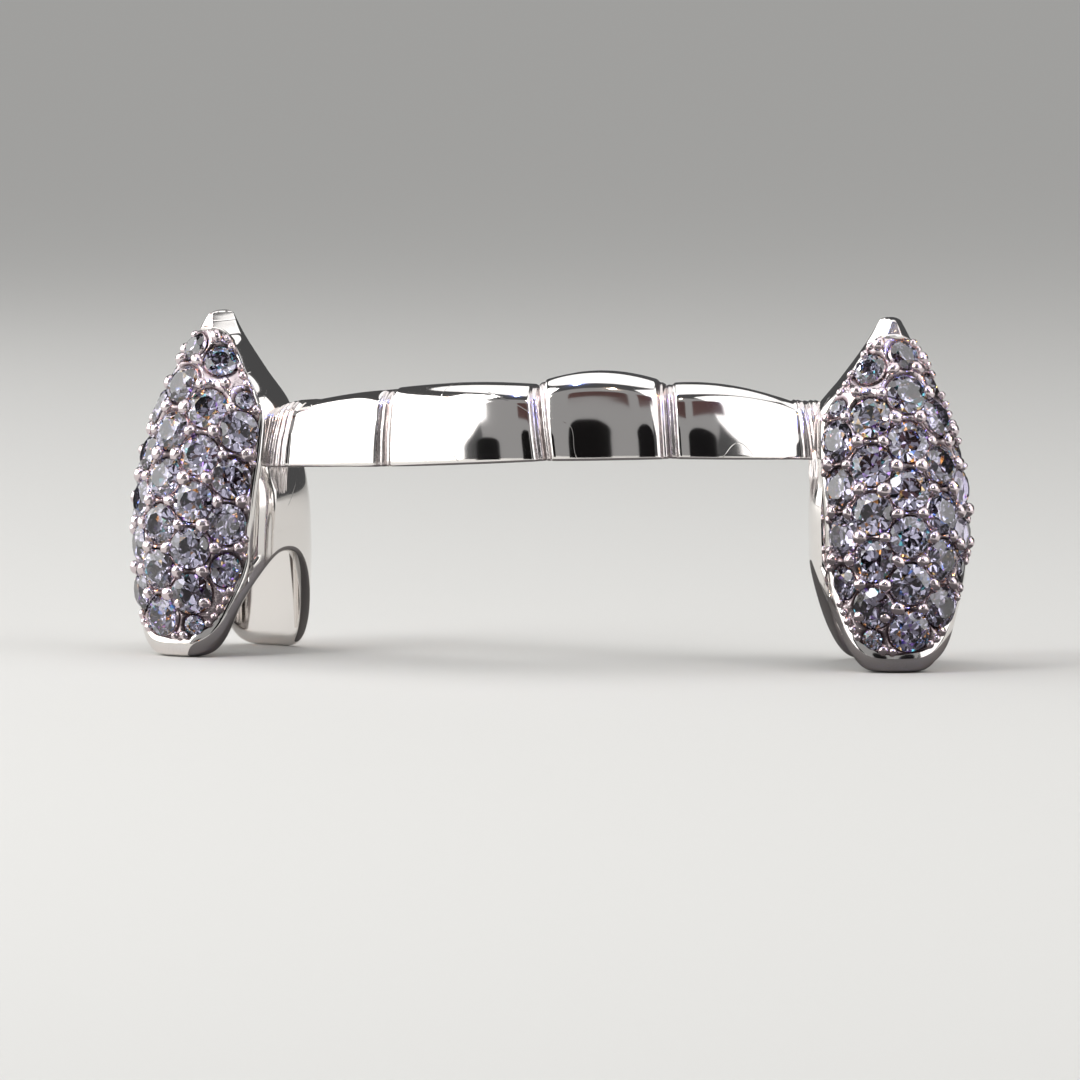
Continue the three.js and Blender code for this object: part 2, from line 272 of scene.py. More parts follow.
# Steps round a wide and a narrow edge of the section, and the length of the steps between edges.
WIDE_EDGE = 0.5
EDGE_STEPS = (14, 4)
SECTION_STEP = 0.12
# The shares of the bar's height between which its lip side rolls back, and bands and grooves take its top.
ROLL_LEVELS = (0.25, 1.4)
TOP_LEVELS = (0.75, 1.0)
# How fast grooves and the roll fade out from the lip side to the back.
GROOVE_FADE = 1.2
ROLL_FADE = 2


def linear(hex_colour):
    """Linear red, green and blue of an sRGB hex colour."""
    parts = [int(hex_colour[i:i + 2], 16) / 255 for i in (1, 3, 5)]
    return tuple(c / 12.92 if c <= 0.04045 else ((c + 0.055) / 1.055) ** 2.4 for c in parts)


def length(name, description, millimetres):
    """A length that shows in the sidebar, given in millimetres."""
    return FloatProperty(
        name=name, description=description, default=millimetres * MM, min=0.0, unit="LENGTH", precision=5
    )


def colour(name, description, hex_colour):
    """A colour that shows in the sidebar, given as sRGB hex."""
    tone = linear(hex_colour)
    return FloatVectorProperty(
        name=name, description=description, default=tone, subtype="COLOR", size=3, min=0.0, max=1.0
    )


class FangSizes(bpy.types.PropertyGroup):
    """Sizes of the caps and of the border round a stone field."""

    border: length("Border", "Width of the plain border round the stones", 0.4)
    edge: length("Edge", "Rounding along the outer edge of the border", 0.09)
    rim: length("Rim", "Height over which the gum rim is rounded", 0.16)
    joint: length("Joint", "Half width of the filed seam below the joint of cap and bar", 0.45)


class BarSizes(bpy.types.PropertyGroup):
    """Sizes of the bar's rounded edges and filed grooves."""

    top_radius: length("Top radius", "Rounding of the bar's upper edges", 0.75)
    low_radius: length("Low radius", "Rounding of the bar's lower edges", 0.1)
    groove_half: length("Groove half width", "Half the width of a filed groove", 0.36)
    groove_depth: length("Groove depth", "Depth of a filed groove", 0.16)
    roll: length("Roll", "How far the lip side rolls back toward its top", 0.25)
    left_flare: length("Left flare", "How far the bar's left end comes forward at its joint", 0.8)
    right_flare: length("Right flare", "How far the bar's right end comes forward at its joint", 0.25)
    band: length("Band", "How far the filed bands at the joints stand out", 0.12)


class PaveSizes(bpy.types.PropertyGroup):
    """Sizes of the stones and of the grains that hold them."""

    stone: length("Stone radius", "Girdle radius of the main stones", 0.82)
    grain: length("Grain radius", "Radius of the grains between stones", 0.29)
    small_grain: length("Border grain radius", "Radius of the grains along the border", 0.19)
    sink: length("Girdle sink", "How far a girdle sits below the face", 0.05)


class Finishes(bpy.types.PropertyGroup):
    """Colours of the metal, the stones and the floor."""

    polish: colour("Polished metal", "Rhodium plate on the bar and caps", "#EDE9E6")
    filed: colour("Filed metal", "Bare filed metal in grooves and joints", "#DDD6D4")
    bed: colour("Stone bed", "Metal between the stones", "#DCCFD2")
    # Painted shade: a dark colour laid into the recesses of the bed.
    residue: colour("Residue", "Polish residue in the recesses of the bed", "#5A4C50")
    stone: colour("Stone", "Body colour of the stones", "#E5E1FF")
    floor: colour("Floor", "Pale studio floor", "#DAD9D6")


def smooth_step(low, high, value):
    """0 up to a low value, 1 from a high one on, and a smooth rise between them."""
    share = np.clip((value - low) / (high - low), 0, 1)
    return share * share * (3 - 2 * share)


def between(start, end, share):
    """What lies a share of the way from a start to an end."""
    return start + (end - start) * share


def unit(vectors):
    """Vectors made 1 long."""
    return vectors / np.linalg.norm(vectors, axis=-1, keepdims=True)


def reach(points):
    """How far places are from a fang's axis."""
    return np.linalg.norm(points[:, :2], axis=1)


def sections_at(rows, z):
    """Reaches of a body at heights, on smooth curves through its sections."""
    table = np.array(rows)
    heights = table[:, 0]
    steps = np.diff(table[:, 1:], axis=0) / np.diff(heights)[:, None]
    slopes = np.vstack([steps[:1], (steps[1:] + steps[:-1]) / 2, steps[-1:]])
    z = np.clip(np.asarray(z, float), heights[0], heights[-1])
    row = np.clip(np.searchsorted(heights, z, side="right") - 1, 0, len(heights) - 2)
    span = heights[row + 1] - heights[row]
    share = ((z - heights[row]) / span)[..., None]
    low, high = table[row, 1:], table[row + 1, 1:]
    rise_low, rise_high = slopes[row] * span[..., None], slopes[row + 1] * span[..., None]
    start = (2 * share**3 - 3 * share**2 + 1) * low + (share**3 - 2 * share**2 + share) * rise_low
    return start + (3 * share**2 - 2 * share**3) * high + (share**3 - share**2) * rise_high


def rounded_point(rows, roundness, angle, z, inset=0.0):
    """Points of a body of rounded sections. Angle 0 faces the lips, positive angles turn to the cheek."""
    angle, z, inset = np.broadcast_arrays(angle, z, inset)
    mesial, distal, labial, lingual = np.moveaxis(sections_at(rows, z), -1, 0)
    across, forward = np.sin(angle), np.cos(angle)
    half_width = np.maximum(np.where(across < 0, mesial, distal) - inset * SIDE_INSET, LEAST_REACH)
    half_depth = np.maximum(np.where(forward > 0, labial, lingual) - inset, LEAST_REACH)
    x = half_width * np.sign(across) * np.abs(across) ** (2 / roundness)
    y = -half_depth * np.sign(forward) * np.abs(forward) ** (2 / roundness)
    return np.stack([x, y, z], axis=-1)


def face_point(angle, z, inset=0.0):
    """Points on the face that carries the stones, or inset under it."""
    return rounded_point(FACE_SECTIONS, FACE_ROUNDNESS, angle, z, inset)


def face_normal(angle, z):
    """Outward direction of the face at places on it."""
    turn, rise = 0.02, 0.05
    around = face_point(angle + turn, z) - face_point(angle - turn, z)
    upward = face_point(angle, z + rise) - face_point(angle, z - rise)
    return unit(np.cross(around, upward))


def cap_point(angle, z):
    """Points on the outside of a cap, which is its body or its face, whichever reaches farther."""
    body = rounded_point(CAP_SECTIONS, CAP_ROUNDNESS, angle, z)
    face = face_point(angle, z)
    share = smooth_step(-FACE_BLEND, FACE_BLEND, reach(face) - reach(body))
    return between(body, face, share[:, None])


def rim_height(angle):
    """Height of the gum rim: level under the lips and the tongue, and arched up at the sides."""
    rise = RIM_RISE * np.abs(np.sin(angle)) ** RIM_POWER - RIM_FLAT
    level = math.hypot(RIM_FLAT, RIM_BLEND) - RIM_FLAT
    return (rise + np.hypot(rise, RIM_BLEND) - level) / 2


def field_low(angle):
    """Height of the lower edge of the stone field."""
    return FIELD_LOW + rim_height(angle)


def angle_along(distance, z):
    """Angle round the face after walking a distance along it from the middle of the lip side."""
    angles = np.linspace(-math.pi, math.pi, WALK_PLACES)
    walk = face_point(angles, np.full_like(angles, z))
    lengths = np.concatenate([[0.0], np.cumsum(np.linalg.norm(np.diff(walk, axis=0), axis=1))])
    lengths -= np.interp(0.0, angles, lengths)
    return float(np.interp(distance, lengths, angles))


def fits(distance, z, radius):
    """Whether a disc that lies on the face at a place stays inside the stone field."""
    points = 12
    for i in range(points):
        turn = i * 2 * math.pi / points
        height = min(z + radius * math.sin(turn), FACE_TOP)
        angle = angle_along(distance + radius * math.cos(turn), height)
        if not FIELD_MESIAL < angle < FIELD_DISTAL or not field_low(angle) < height < FIELD_TOP:
            return False
    return True


def stone_at(distance, z, sizes, radius):
    """The largest stone that stays inside the field at a place."""
    size = next((size for size in sizes if fits(distance, z, radius * size * STONE_HELD)), None)
    return [(distance, z, size)] if size else []


def stone_places(radius):
    """Places of the stones: distance round the face, height and size."""
    places = []
    for column in range(-OUTER_COLUMN, OUTER_COLUMN + 1):
        distance = COLUMN_SHIFT + column * COLUMN_PITCH
        z = LOWEST_STONE - STONE_PITCH + (abs(column) % 2) * STONE_PITCH / 2
        stack = []
        while z < FIELD_TOP:
            stack += stone_at(distance, z, STONE_SIZES, radius)
            z += STONE_PITCH
        places += stack
        ends = ((stack[0], -1), (stack[-1], 1)) if stack else ()
        for (_, last_z, last_size), way in ends:
            fillers = []
            for size in END_STONES:
                beyond = last_z + way * (last_size + size) * radius * END_SPACING
                fillers += stone_at(distance, beyond, (size,), radius)
            places += fillers[:1]
    return places


def stand_on(spot, out):
    """Axes of a small piece that stands on a surface: along it, up it and out of it."""
    out = Vector(out)
    along = Vector((0, 0, 1)).cross(out).normalized()
    return Matrix.Translation(spot) @ Matrix((along, out.cross(along), out)).transposed().to_4x4()


def face_frame(angle, z, sink=0.0):
    """Axes of a small piece that stands on the face."""
    angle, z = np.array(angle), np.array(z)
    out = face_normal(angle, z)
    return stand_on(face_point(angle, z) - out * sink, out)


def grain_frames(stones, radius):
    """Where the grains stand: one at each side of the gap above every stone."""
    frames = []
    for distance, z, _ in stones:
        above = z + STONE_PITCH / 2
        for beside in (distance - GRAIN_BESIDE, distance + GRAIN_BESIDE):
            if fits(beside, above, radius):
                frames.append(face_frame(angle_along(beside, above), above))
    return frames


def border_grain_frames(outline, taken, radius):
    """Where the small grains stand that fill the corners along the border, clear of what is taken."""
    frames = []
    for spot, away, out in zip(*outline):
        spot = spot - away * radius * BORDER_GRAIN_INSET
        gap = radius * BORDER_GRAIN_GAP
        if all(np.linalg.norm(spot - other) > size + gap for other, size in taken):
            frames.append(stand_on(spot, out))
            taken = taken + [(spot, radius)]
    return frames


def fang_place(side):
    """From a fang's own millimetres to the part's metres. The left fang is a mirror image."""
    turn = Matrix.Rotation(side * FANG_TURN, 4, "Z")
    mirror = Matrix.Diagonal((side, 1, 1, 1))
    return Matrix.Scale(MM, 4) @ Matrix.Translation((side * TIP_HALF_SPAN, FANG_Y, 0)) @ turn @ mirror


def field_outline():
    """Places round the stone field, the way from the field at each, and the way that the face looks there."""
    bottom = np.linspace(FIELD_MESIAL, FIELD_DISTAL, SIDE_STEPS)
    low = field_low(bottom)
    up = np.linspace(0, 1, SIDE_STEPS)
    sides = np.full(SIDE_STEPS, FIELD_DISTAL), np.full(SIDE_STEPS, FIELD_MESIAL)
    angles = np.concatenate([bottom, sides[0], bottom[::-1], sides[1]])
    rises = between(low[-1], FIELD_TOP, up), between(FIELD_TOP, low[0], up)
    heights = np.concatenate([low, rises[0], np.full(SIDE_STEPS, FIELD_TOP), rises[1]])
    walk = face_point(angles, heights)
    lengths = np.cumsum(np.linalg.norm(walk - np.roll(walk, 1, axis=0), axis=1))
    even = np.arange(1, OUTLINE_STEPS + 1) * lengths[-1] / OUTLINE_STEPS
    path = np.stack([np.interp(even, lengths, angles), np.interp(even, lengths, heights)])
    for _ in range(CORNER_PASSES):
        near = [np.roll(path, step, axis=1) for step in range(-CORNER_STEPS, CORNER_STEPS + 1)]
        path = np.mean(near, axis=0)
    spots, out = face_point(*path), face_normal(*path)
    along = np.roll(spots, -1, axis=0) - np.roll(spots, 1, axis=0)
    return spots, unit(np.cross(along, out)), out


def field_depth(points, outline):
    """How far inside the stone field places on the face lie, in millimetres."""
    spots, away, _ = outline
    gaps = (points**2).sum(axis=1)[:, None] - 2 * points @ spots.T + (spots**2).sum(axis=1)
    nearest = gaps.argmin(axis=1)
    return ((spots[nearest] - points) * away[nearest]).sum(axis=1)


def move(verts, places):
    """Puts corners at places."""
    for vert, place in zip(verts, places):
        vert.co = place


def only(kind, geom):
    """What is of one kind, such as edges, among what a bmesh operator made."""
    return [made for made in geom if isinstance(made, kind)]


def flat_grid(across, up):
    """A flat sheet of faces, and how far across and up each of its corners is."""
    bm = bmesh.new()
    bmesh.ops.create_grid(bm, x_segments=across, y_segments=up, size=1)
    shares = (np.array([v.co[:2] for v in bm.verts]) + 1) / 2
    return bm, shares[:, 0], shares[:, 1]


def ringed(loops, hole=False):
    """A body through rings of places, closed by a face at both ends or, round a hole, end to end."""
    bm = bmesh.new()
    ring = bmesh.ops.create_circle(bm, cap_ends=not hole, segments=len(loops[0]), radius=1)["verts"]
    move(ring, loops[0])
    first = edges = bm.edges[:]
    for loop in loops[1:]:
        made = bmesh.ops.extrude_edge_only(bm, edges=edges)["geom"]
        before = {vert: i for i, vert in enumerate(ring)}
        order = {}
        for vert in only(BMVert, made):
            feet = (edge.other_vert(vert) for edge in vert.link_edges)
            order[vert] = next(before[foot] for foot in feet if foot in before)
        ring = sorted(order, key=order.get)
        edges = [edge for edge in only(BMEdge, made) if all(vert in order for vert in edge.verts)]
        move(ring, loop)
    if hole:
        bmesh.ops.bridge_loops(bm, edges=first + edges)
    else:
        bmesh.ops.contextual_create(bm, geom=edges)
    return bm


def cut_solid(bm, planes):
    """Cuts a solid along planes, each given by a place and the way out, and closes every cut."""
    for spot, out in planes:
        geom = bm.verts[:] + bm.edges[:] + bm.faces[:]
        cut = bmesh.ops.bisect_plane(bm, geom=geom, dist=1e-6, plane_co=spot, plane_no=out, clear_outer=True)
        edges = only(BMEdge, cut["geom_cut"])
        if edges:
            bmesh.ops.contextual_create(bm, geom=edges)
    bmesh.ops.remove_doubles(bm, verts=bm.verts, dist=MERGE)


def kept_mesh(bm, name):
    """Keeps a shape as a mesh."""
    mesh = bpy.data.meshes.new(name)
    bm.to_mesh(mesh)
    bm.free()
    return mesh


def stamp(bm, mesh, place):
    """Adds a copy of a small mesh at a place and returns its faces."""
    corners, faces = len(bm.verts), len(bm.faces)
    bm.from_mesh(mesh)
    bm.verts.ensure_lookup_table()
    bm.faces.ensure_lookup_table()
    bmesh.ops.transform(bm, matrix=place, verts=bm.verts[corners:])
    return bm.faces[faces:]


def finish_piece(name, bm, materials, node, sharp=None):
    """Turns a bmesh into a piece that rides on the part and stands for one of its nodes."""
    bmesh.ops.recalc_face_normals(bm, faces=bm.faces)
    mesh = kept_mesh(bm, name)
    if sharp:
        mesh.shade_smooth()
        mesh.set_sharp_from_angle(angle=math.radians(sharp))
    else:
        mesh.shade_flat()
    for material in materials:
        mesh.materials.append(material)
    piece = bpy.data.objects.new(name, mesh)
    bpy.context.scene.collection.objects.link(piece)
    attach(piece, BODY)
    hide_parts(node)


def finish_on_fang(side_name, part, bm, materials, node, sharp=None):
    """Puts a bmesh on one of the fangs and makes it a piece."""
    bmesh.ops.transform(bm, matrix=fang_place(SIDES[side_name]), verts=bm.verts)
    finish_piece(f"{side_name}_{part}", bm, materials, node, sharp)


def add_node(tree, kind, inputs=None, **settings):
    """Adds a node, sets its attributes, and gives its inputs values, outputs or the first output of nodes."""
    made = tree.nodes.new("ShaderNode" + kind)
    for name, value in settings.items():
        setattr(made, name, value)
    for name, value in (inputs or {}).items():
        if isinstance(value, bpy.types.Node):
            value = value.outputs[0]
        if isinstance(value, bpy.types.NodeSocket):
            tree.links.new(value, made.inputs[name])
        else:
            made.inputs[name].default_value = value
    return made


# Sockets of a mix node that mixes colours, which share their names with its other sockets.
MIX_SHARE, MIX_FIRST, MIX_SECOND, MIX_RESULT = 0, 6, 7, 2


def per_mm(size):
    """Texture scale for a feature of a size in millimetres."""
    return 1 / (size * MM)


def new_material(name):
    """An empty material and its node tree."""
    material = bpy.data.materials.new(name)
    material.use_nodes = True
    material.node_tree.nodes.clear()
    return material, material.node_tree


def rhodium_plate_polished(hue):
    """Rhodium plate on cast silver, buffed: a near mirror, with faint smears and worn-in hairlines."""
    material, tree = new_material("rhodium_plate_polished")
    place = add_node(tree, "TexCoord").outputs["Object"]
    smear = add_node(tree, "TexNoise", {"Vector": place, "Scale": per_mm(5), "Detail": 3})
    rough = add_node(tree, "MapRange", {"Value": smear, "To Min": 0.03, "To Max": 0.11})
    swirl = add_node(tree, "TexNoise", {"Vector": place, "Scale": per_mm(7), "Detail": 1, "Distortion": 1.6})
    off = add_node(tree, "Math", {0: swirl, 1: 0.5}, operation="SUBTRACT")
    away = add_node(tree, "Math", {0: off}, operation="ABSOLUTE")
    hairline = add_node(tree, "MapRange", {"Value": away, "From Max": 0.0035, "To Min": 1, "To Max": 0})
    wave = add_node(tree, "TexNoise", {"Vector": place, "Scale": per_mm(1.6), "Detail": 2})
    height = add_node(tree, "Math", {0: hairline, 1: -0.5, 2: wave}, operation="MULTIPLY_ADD")
    bump = add_node(tree, "Bump", {"Height": height, "Strength": 0.25, "Distance": 0.012 * MM})
    metal = {"Base Color": (*hue, 1), "Metallic": 1.0, "Roughness": rough, "Normal": bump}
    shader = add_node(tree, "BsdfPrincipled", metal)
    add_node(tree, "OutputMaterial", {"Surface": shader})
    return material


def silver_filed(hue):
    """Silver left from the file in a groove: upright scratches that scatter the light in streaks."""
    material, tree = new_material("silver_filed")
    place = add_node(tree, "TexCoord").outputs["Object"]
    scratch = (per_mm(0.09), per_mm(0.09), per_mm(2.5))
    stretch = add_node(tree, "Mapping", {"Vector": place, "Scale": scratch})
    lines = add_node(tree, "TexNoise", {"Vector": stretch, "Scale": 1.0, "Detail": 4})
    rough = add_node(tree, "MapRange", {"Value": lines, "To Min": 0.08, "To Max": 0.32})
    bump = add_node(tree, "Bump", {"Height": lines, "Strength": 0.5, "Distance": 0.03 * MM})
    metal = {"Base Color": (*hue, 1), "Metallic": 1.0, "Roughness": rough, "Normal": bump}
    shader = add_node(tree, "BsdfPrincipled", metal)
    add_node(tree, "OutputMaterial", {"Surface": shader})
    return material


def silver_bright_cut(hue, residue):
    """Silver cut up by a graver between the stones: bright on its crests, with painted shade in its recesses.
    """
    material, tree = new_material("silver_bright_cut")
    place = add_node(tree, "TexCoord").outputs["Object"]
    cuts = add_node(tree, "TexNoise", {"Vector": place, "Scale": per_mm(0.22), "Detail": 3})
    rough = add_node(tree, "MapRange", {"Value": cuts, "To Min": 0.04, "To Max": 0.22})
    bump = add_node(tree, "Bump", {"Height": cuts, "Strength": 0.6, "Distance": 0.05 * MM})
    # Painted shade: the recesses of the bed are darkened in the base colour.
    recess = add_node(tree, "Attribute", attribute_name="recess").outputs["Fac"]
    tones = {MIX_SHARE: recess, MIX_FIRST: (*hue, 1), MIX_SECOND: (*residue, 1)}
    tone = add_node(tree, "Mix", tones, data_type="RGBA").outputs[MIX_RESULT]
    metal = {"Base Color": tone, "Metallic": 1.0, "Roughness": rough, "Normal": bump}
    shader = add_node(tree, "BsdfPrincipled", metal)
    add_node(tree, "OutputMaterial", {"Surface": shader})
    return material


def cubic_zirconia():
    """Cut zirconia: clear and very bright, with each facet a little off white and a few tinted with painted
    fire.
    """
    material, tree = new_material("cubic_zirconia")
    # Painted fire: the facets' colours stand in for the stone's dispersed light.
    painted_fire = add_node(tree, "Attribute", attribute_name="painted_fire").outputs["Color"]
    clear = {"Base Color": painted_fire, "Roughness": 0.0, "IOR": 2.15, "Transmission Weight": 1.0}
    shader = add_node(tree, "BsdfPrincipled", clear)
    add_node(tree, "OutputMaterial", {"Surface": shader})
    return material


def matt_sheet(name, hue, patch, roughness, sheen):
    """Painted board or felt: one flat tone, with a faint unevenness of a size in millimetres."""
    material, tree = new_material(name)
    place = add_node(tree, "TexCoord").outputs["Object"]
    cloud = add_node(tree, "TexNoise", {"Vector": place, "Scale": per_mm(patch), "Detail": 2})
    low, high = roughness
    rough = add_node(tree, "MapRange", {"Value": cloud, "To Min": low, "To Max": high})
    matt = {"Base Color": (*hue, 1), "Roughness": rough, "Specular IOR Level": sheen}
    shader = add_node(tree, "BsdfPrincipled", matt)
    add_node(tree, "OutputMaterial", {"Surface": shader})
    return material


def finish(make, *names):
    """The material that a function is named for, in the sidebar's colours, made when first asked for."""
    finishes = bpy.context.scene.grillz_finishes
    return bpy.data.materials.get(make.__name__) or make(*[getattr(finishes, name) for name in names])


def cap_shell(outline, rim):
    """The hollow cap: down its inside, round the gum rim and up its outside to the filed tip."""
    count = sum(CAP_ROWS)
    bm, across, up = flat_grid(CAP_AROUND, count)
    angle = (across - 0.5) * 2 * math.pi
    step = np.rint(up * count)
    starts = np.cumsum(CAP_ROWS) - CAP_ROWS
    shares = [np.clip((step - start) / rows, 0, 1) for start, rows in zip(starts, CAP_ROWS)]
    roof, inside, turn, outside, top, dome = shares
    hollow_top = HOLLOW_SECTIONS[-1][0]
    low = rim_height(angle) + rim
    z_in = between(hollow_top, low, inside)
    inner = rounded_point(HOLLOW_SECTIONS, HOLLOW_ROUNDNESS, angle, z_in)
    inner[:, :2] *= roof[:, None]
    z_out = between(low, TIP_FILED[0], outside) + (TIP_ROUND - TIP_FILED[0]) * top
    outer = cap_point(angle, z_out)
    sunk = face_point(angle, z_out, BED_INSET)
    share = smooth_step(-INSET_BLEND, INSET_BLEND, field_depth(face_point(angle, z_out), outline))
    share *= reach(sunk) < reach(outer)
    outer = between(outer, sunk, share[:, None])
    outer[:, :2] *= np.cos(dome * math.pi / 2)[:, None]
    outer[:, 2] += (FACE_TOP - TIP_ROUND) * np.sin(dome * math.pi / 2)
    for spot, out in TIP_FACES:
        beyond = np.maximum(0, (outer - spot) @ out) * smooth_step(*TIP_FILED, outer[:, 2])
        outer -= beyond[:, None] * out
    points = between(inner, outer, ((1 - np.cos(math.pi * turn)) / 2)[:, None])
    points[:, 2] -= rim * np.sin(math.pi * turn)
    move(bm.verts, points)
    bmesh.ops.remove_doubles(bm, verts=bm.verts, dist=MERGE)
    bmesh.ops.recalc_face_normals(bm, faces=bm.faces)
    for face in bm.faces:
        above_field = face.calc_center_median().z > FIELD_TOP
        face.material_index = 1 if above_field and face.normal.y < FILED_LOOK else 0
    return bm


def face_border(outline, width, edge):
    """The frame round a stone field: outer wall, rounded edge, flat border and the bright cut to the bed."""
    spots, away, out = outline
    change = 1
    for start, end, share in (BORDER_TIP, BORDER_FOOT):
        change = change + share * smooth_step(start, end, spots[:, 2])
    straight_back = np.array([0.0, 1.0, 0.0])
    # Share of the border's width, millimetres less than that, depth below the face, and how far back.
    profile = (
        (1.0, 0.12, 0.35, 0.2),
        (1.0, 0.0, edge * 1.2, 0.0),
        (1.0, edge * 0.15, edge * 0.5, 0.0),
        (1.0, edge * 0.5, edge * 0.15, 0.0),
        (1.0, edge, 0.0, 0.0),
        (0.4, 0.0, 0.0, 0.0),
        (0.25, 0.0, 0.02, 0.0),
        (0.0, 0.06, 0.12, 0.0),
        (0.0, 0.12, 0.26, 0.0),
        (0.0, 0.12, 0.28, 0.1),
    )
    loops = []
    for share, less, depth, back in profile:
        margin = width * change * share - less
        loops.append(spots + away * margin[:, None] - out * depth + straight_back * back)
    return ringed(loops, hole=True)


def joint_seam(half_width):
    """The seam on a cap's side below the bar's end: a narrowing strip with file ridges along it."""
    bm, across, up = flat_grid(*SEAM_GRID)
    side, height = across * 2 - 1, up * 2 - 1
    narrow = (1 - 0.5 * np.maximum(0, -height)) * (1 - height**8) ** 0.5
    angle = SEAM_ANGLE + (side * half_width * narrow - SEAM_BEND * height**2) / SEAM_REACH
    points = cap_point(angle, SEAM_Z + height * SEAM_HALF_HEIGHT)
    outward = unit(points * (1, 1, 0))
    wobble = SEAM_WOBBLE[0] * np.sin(height * SEAM_WOBBLE[1])
    (broad, broad_count), (fine, fine_count) = SEAM_RIDGES
    ridge = broad * np.cos(side * broad_count + wobble) + fine * np.cos(side * fine_count - wobble * 2)
    fade = smooth_step(-1, 0.1, height) * smooth_step(1, 0.6, height)
    rise = (SEAM_RISE + ridge) * (1 - side**4) * fade - SEAM_EDGE
    move(bm.verts, points + outward * rise[:, None])
    under = only(BMVert, bmesh.ops.extrude_face_region(bm, geom=bm.faces[:])["geom"])
    bmesh.ops.scale(bm, vec=(SEAM_BACK, SEAM_BACK, 1), verts=under)
    bmesh.ops.remove_doubles(bm, verts=bm.verts, dist=MERGE)
    return bm


def bed_sheet(outline, frames, beads, sink):
    """The bed between the stones: a web that dips to each stone's seat and rises toward the grains."""
    turn = BED_MARGIN / BED_REACH
    first, last = FIELD_MESIAL - turn, FIELD_DISTAL + turn
    bm, across, up = flat_grid(*BED_GRID)
    angle = between(first, last, across)
    low = field_low(angle) - BED_MARGIN
    z = between(low, FIELD_TOP + BED_MARGIN, up)
    base = face_point(angle, z)
    nearest = np.full(len(base), np.inf)
    seat = np.zeros(len(base))
    for spot, radius in frames:
        away = np.linalg.norm(base - np.array(spot.translation), axis=1)
        nearest = np.minimum(nearest, away - radius)
        edge = radius * SEAT_REACH
        drop = np.where(away < edge, sink + SEAT_STEP + (edge - away) * SEAT_SLOPE, 0.0)
        seat = np.maximum(seat, np.minimum(drop, SEAT_DEPTH[0] * radius + SEAT_DEPTH[1]))
    crest = WEB_RISE * smooth_step(0.0, WEB_SLOPE, nearest) - WEB_DIP
    for bead in beads:
        gap = np.linalg.norm(base - bead, axis=1)
        crest += GRAIN_RISE * np.exp(-((gap / GRAIN_REACH) ** 2))
    inside = field_depth(base, outline)
    dip, fall = (most * smooth_step(start, end, inside) for most, start, end in (EDGE_DIP, EDGE_FALL))
    height = np.where(seat > 0, -seat, np.minimum(crest, WEB_TOP) - dip) - fall
    move(bm.verts, base + face_normal(angle, z) * height[:, None])
    # Painted shade: the lower a corner of the web lies, the darker its colour is painted.
    dark = bm.verts.layers.float.new("recess")
    for vert, share in zip(bm.verts, smooth_step(*RECESS, height)):
        vert[dark] = share
    under = only(BMVert, bmesh.ops.extrude_face_region(bm, geom=bm.faces[:])["geom"])
    bmesh.ops.translate(bm, vec=(0, BED_BACK, 0), verts=under)
    return bm


def grain_mesh():
    """One grain of radius 1: a drop of metal raised by the graver, round on top and buried at its foot."""
    bm = bmesh.new()
    bmesh.ops.create_uvsphere(bm, u_segments=10, v_segments=6, radius=1)
    cut_solid(bm, [((0, 0, GRAIN_CUT), (0, 0, -1))])
    bmesh.ops.scale(bm, vec=(1, 1, GRAIN_FLAT), verts=bm.verts)
    bmesh.ops.translate(bm, vec=(0, 0, GRAIN_LIFT), verts=bm.verts)
    return kept_mesh(bm, "grain")


def seat_rim_mesh():
    """The thin lip of metal pushed over the edge of a stone of radius 1."""
    angles = np.linspace(0, 2 * math.pi, LIP_AROUND + 1)[:-1]
    loops = []
    for radius, z in LIP_SECTION:
        level = np.full(LIP_AROUND, z)
        loops.append(np.stack([radius * np.cos(angles), radius * np.sin(angles), level], axis=1))
    bm = ringed(loops, hole=True)
    bmesh.ops.recalc_face_normals(bm, faces=bm.faces)
    return kept_mesh(bm, "seat_rim")


def brilliant_mesh():
    """A round brilliant of girdle radius 1, cut facet by facet from a short rod."""
    bm = bmesh.new()
    bmesh.ops.create_cone(bm, cap_ends=True, segments=STONE_AROUND, radius1=1, radius2=1, depth=4)
    planes = [(Vector((0, 0, STONE_TABLE)), Vector((0, 0, 1)))]
    for degrees, start, count, out, height in STONE_FACETS:
        tilt = math.radians(degrees)
        for i in range(count):
            turn = i * 2 * math.pi / count + start * FACET_TURN / 2
            ray = Vector((math.cos(turn), math.sin(turn), 0))
            spot = ray * out + Vector((0, 0, height))
            planes.append((spot, ray * math.sin(tilt) + Vector((0, 0, math.cos(tilt)))))
    cut_solid(bm, planes)
    bmesh.ops.recalc_face_normals(bm, faces=bm.faces)
    return kept_mesh(bm, "brilliant")


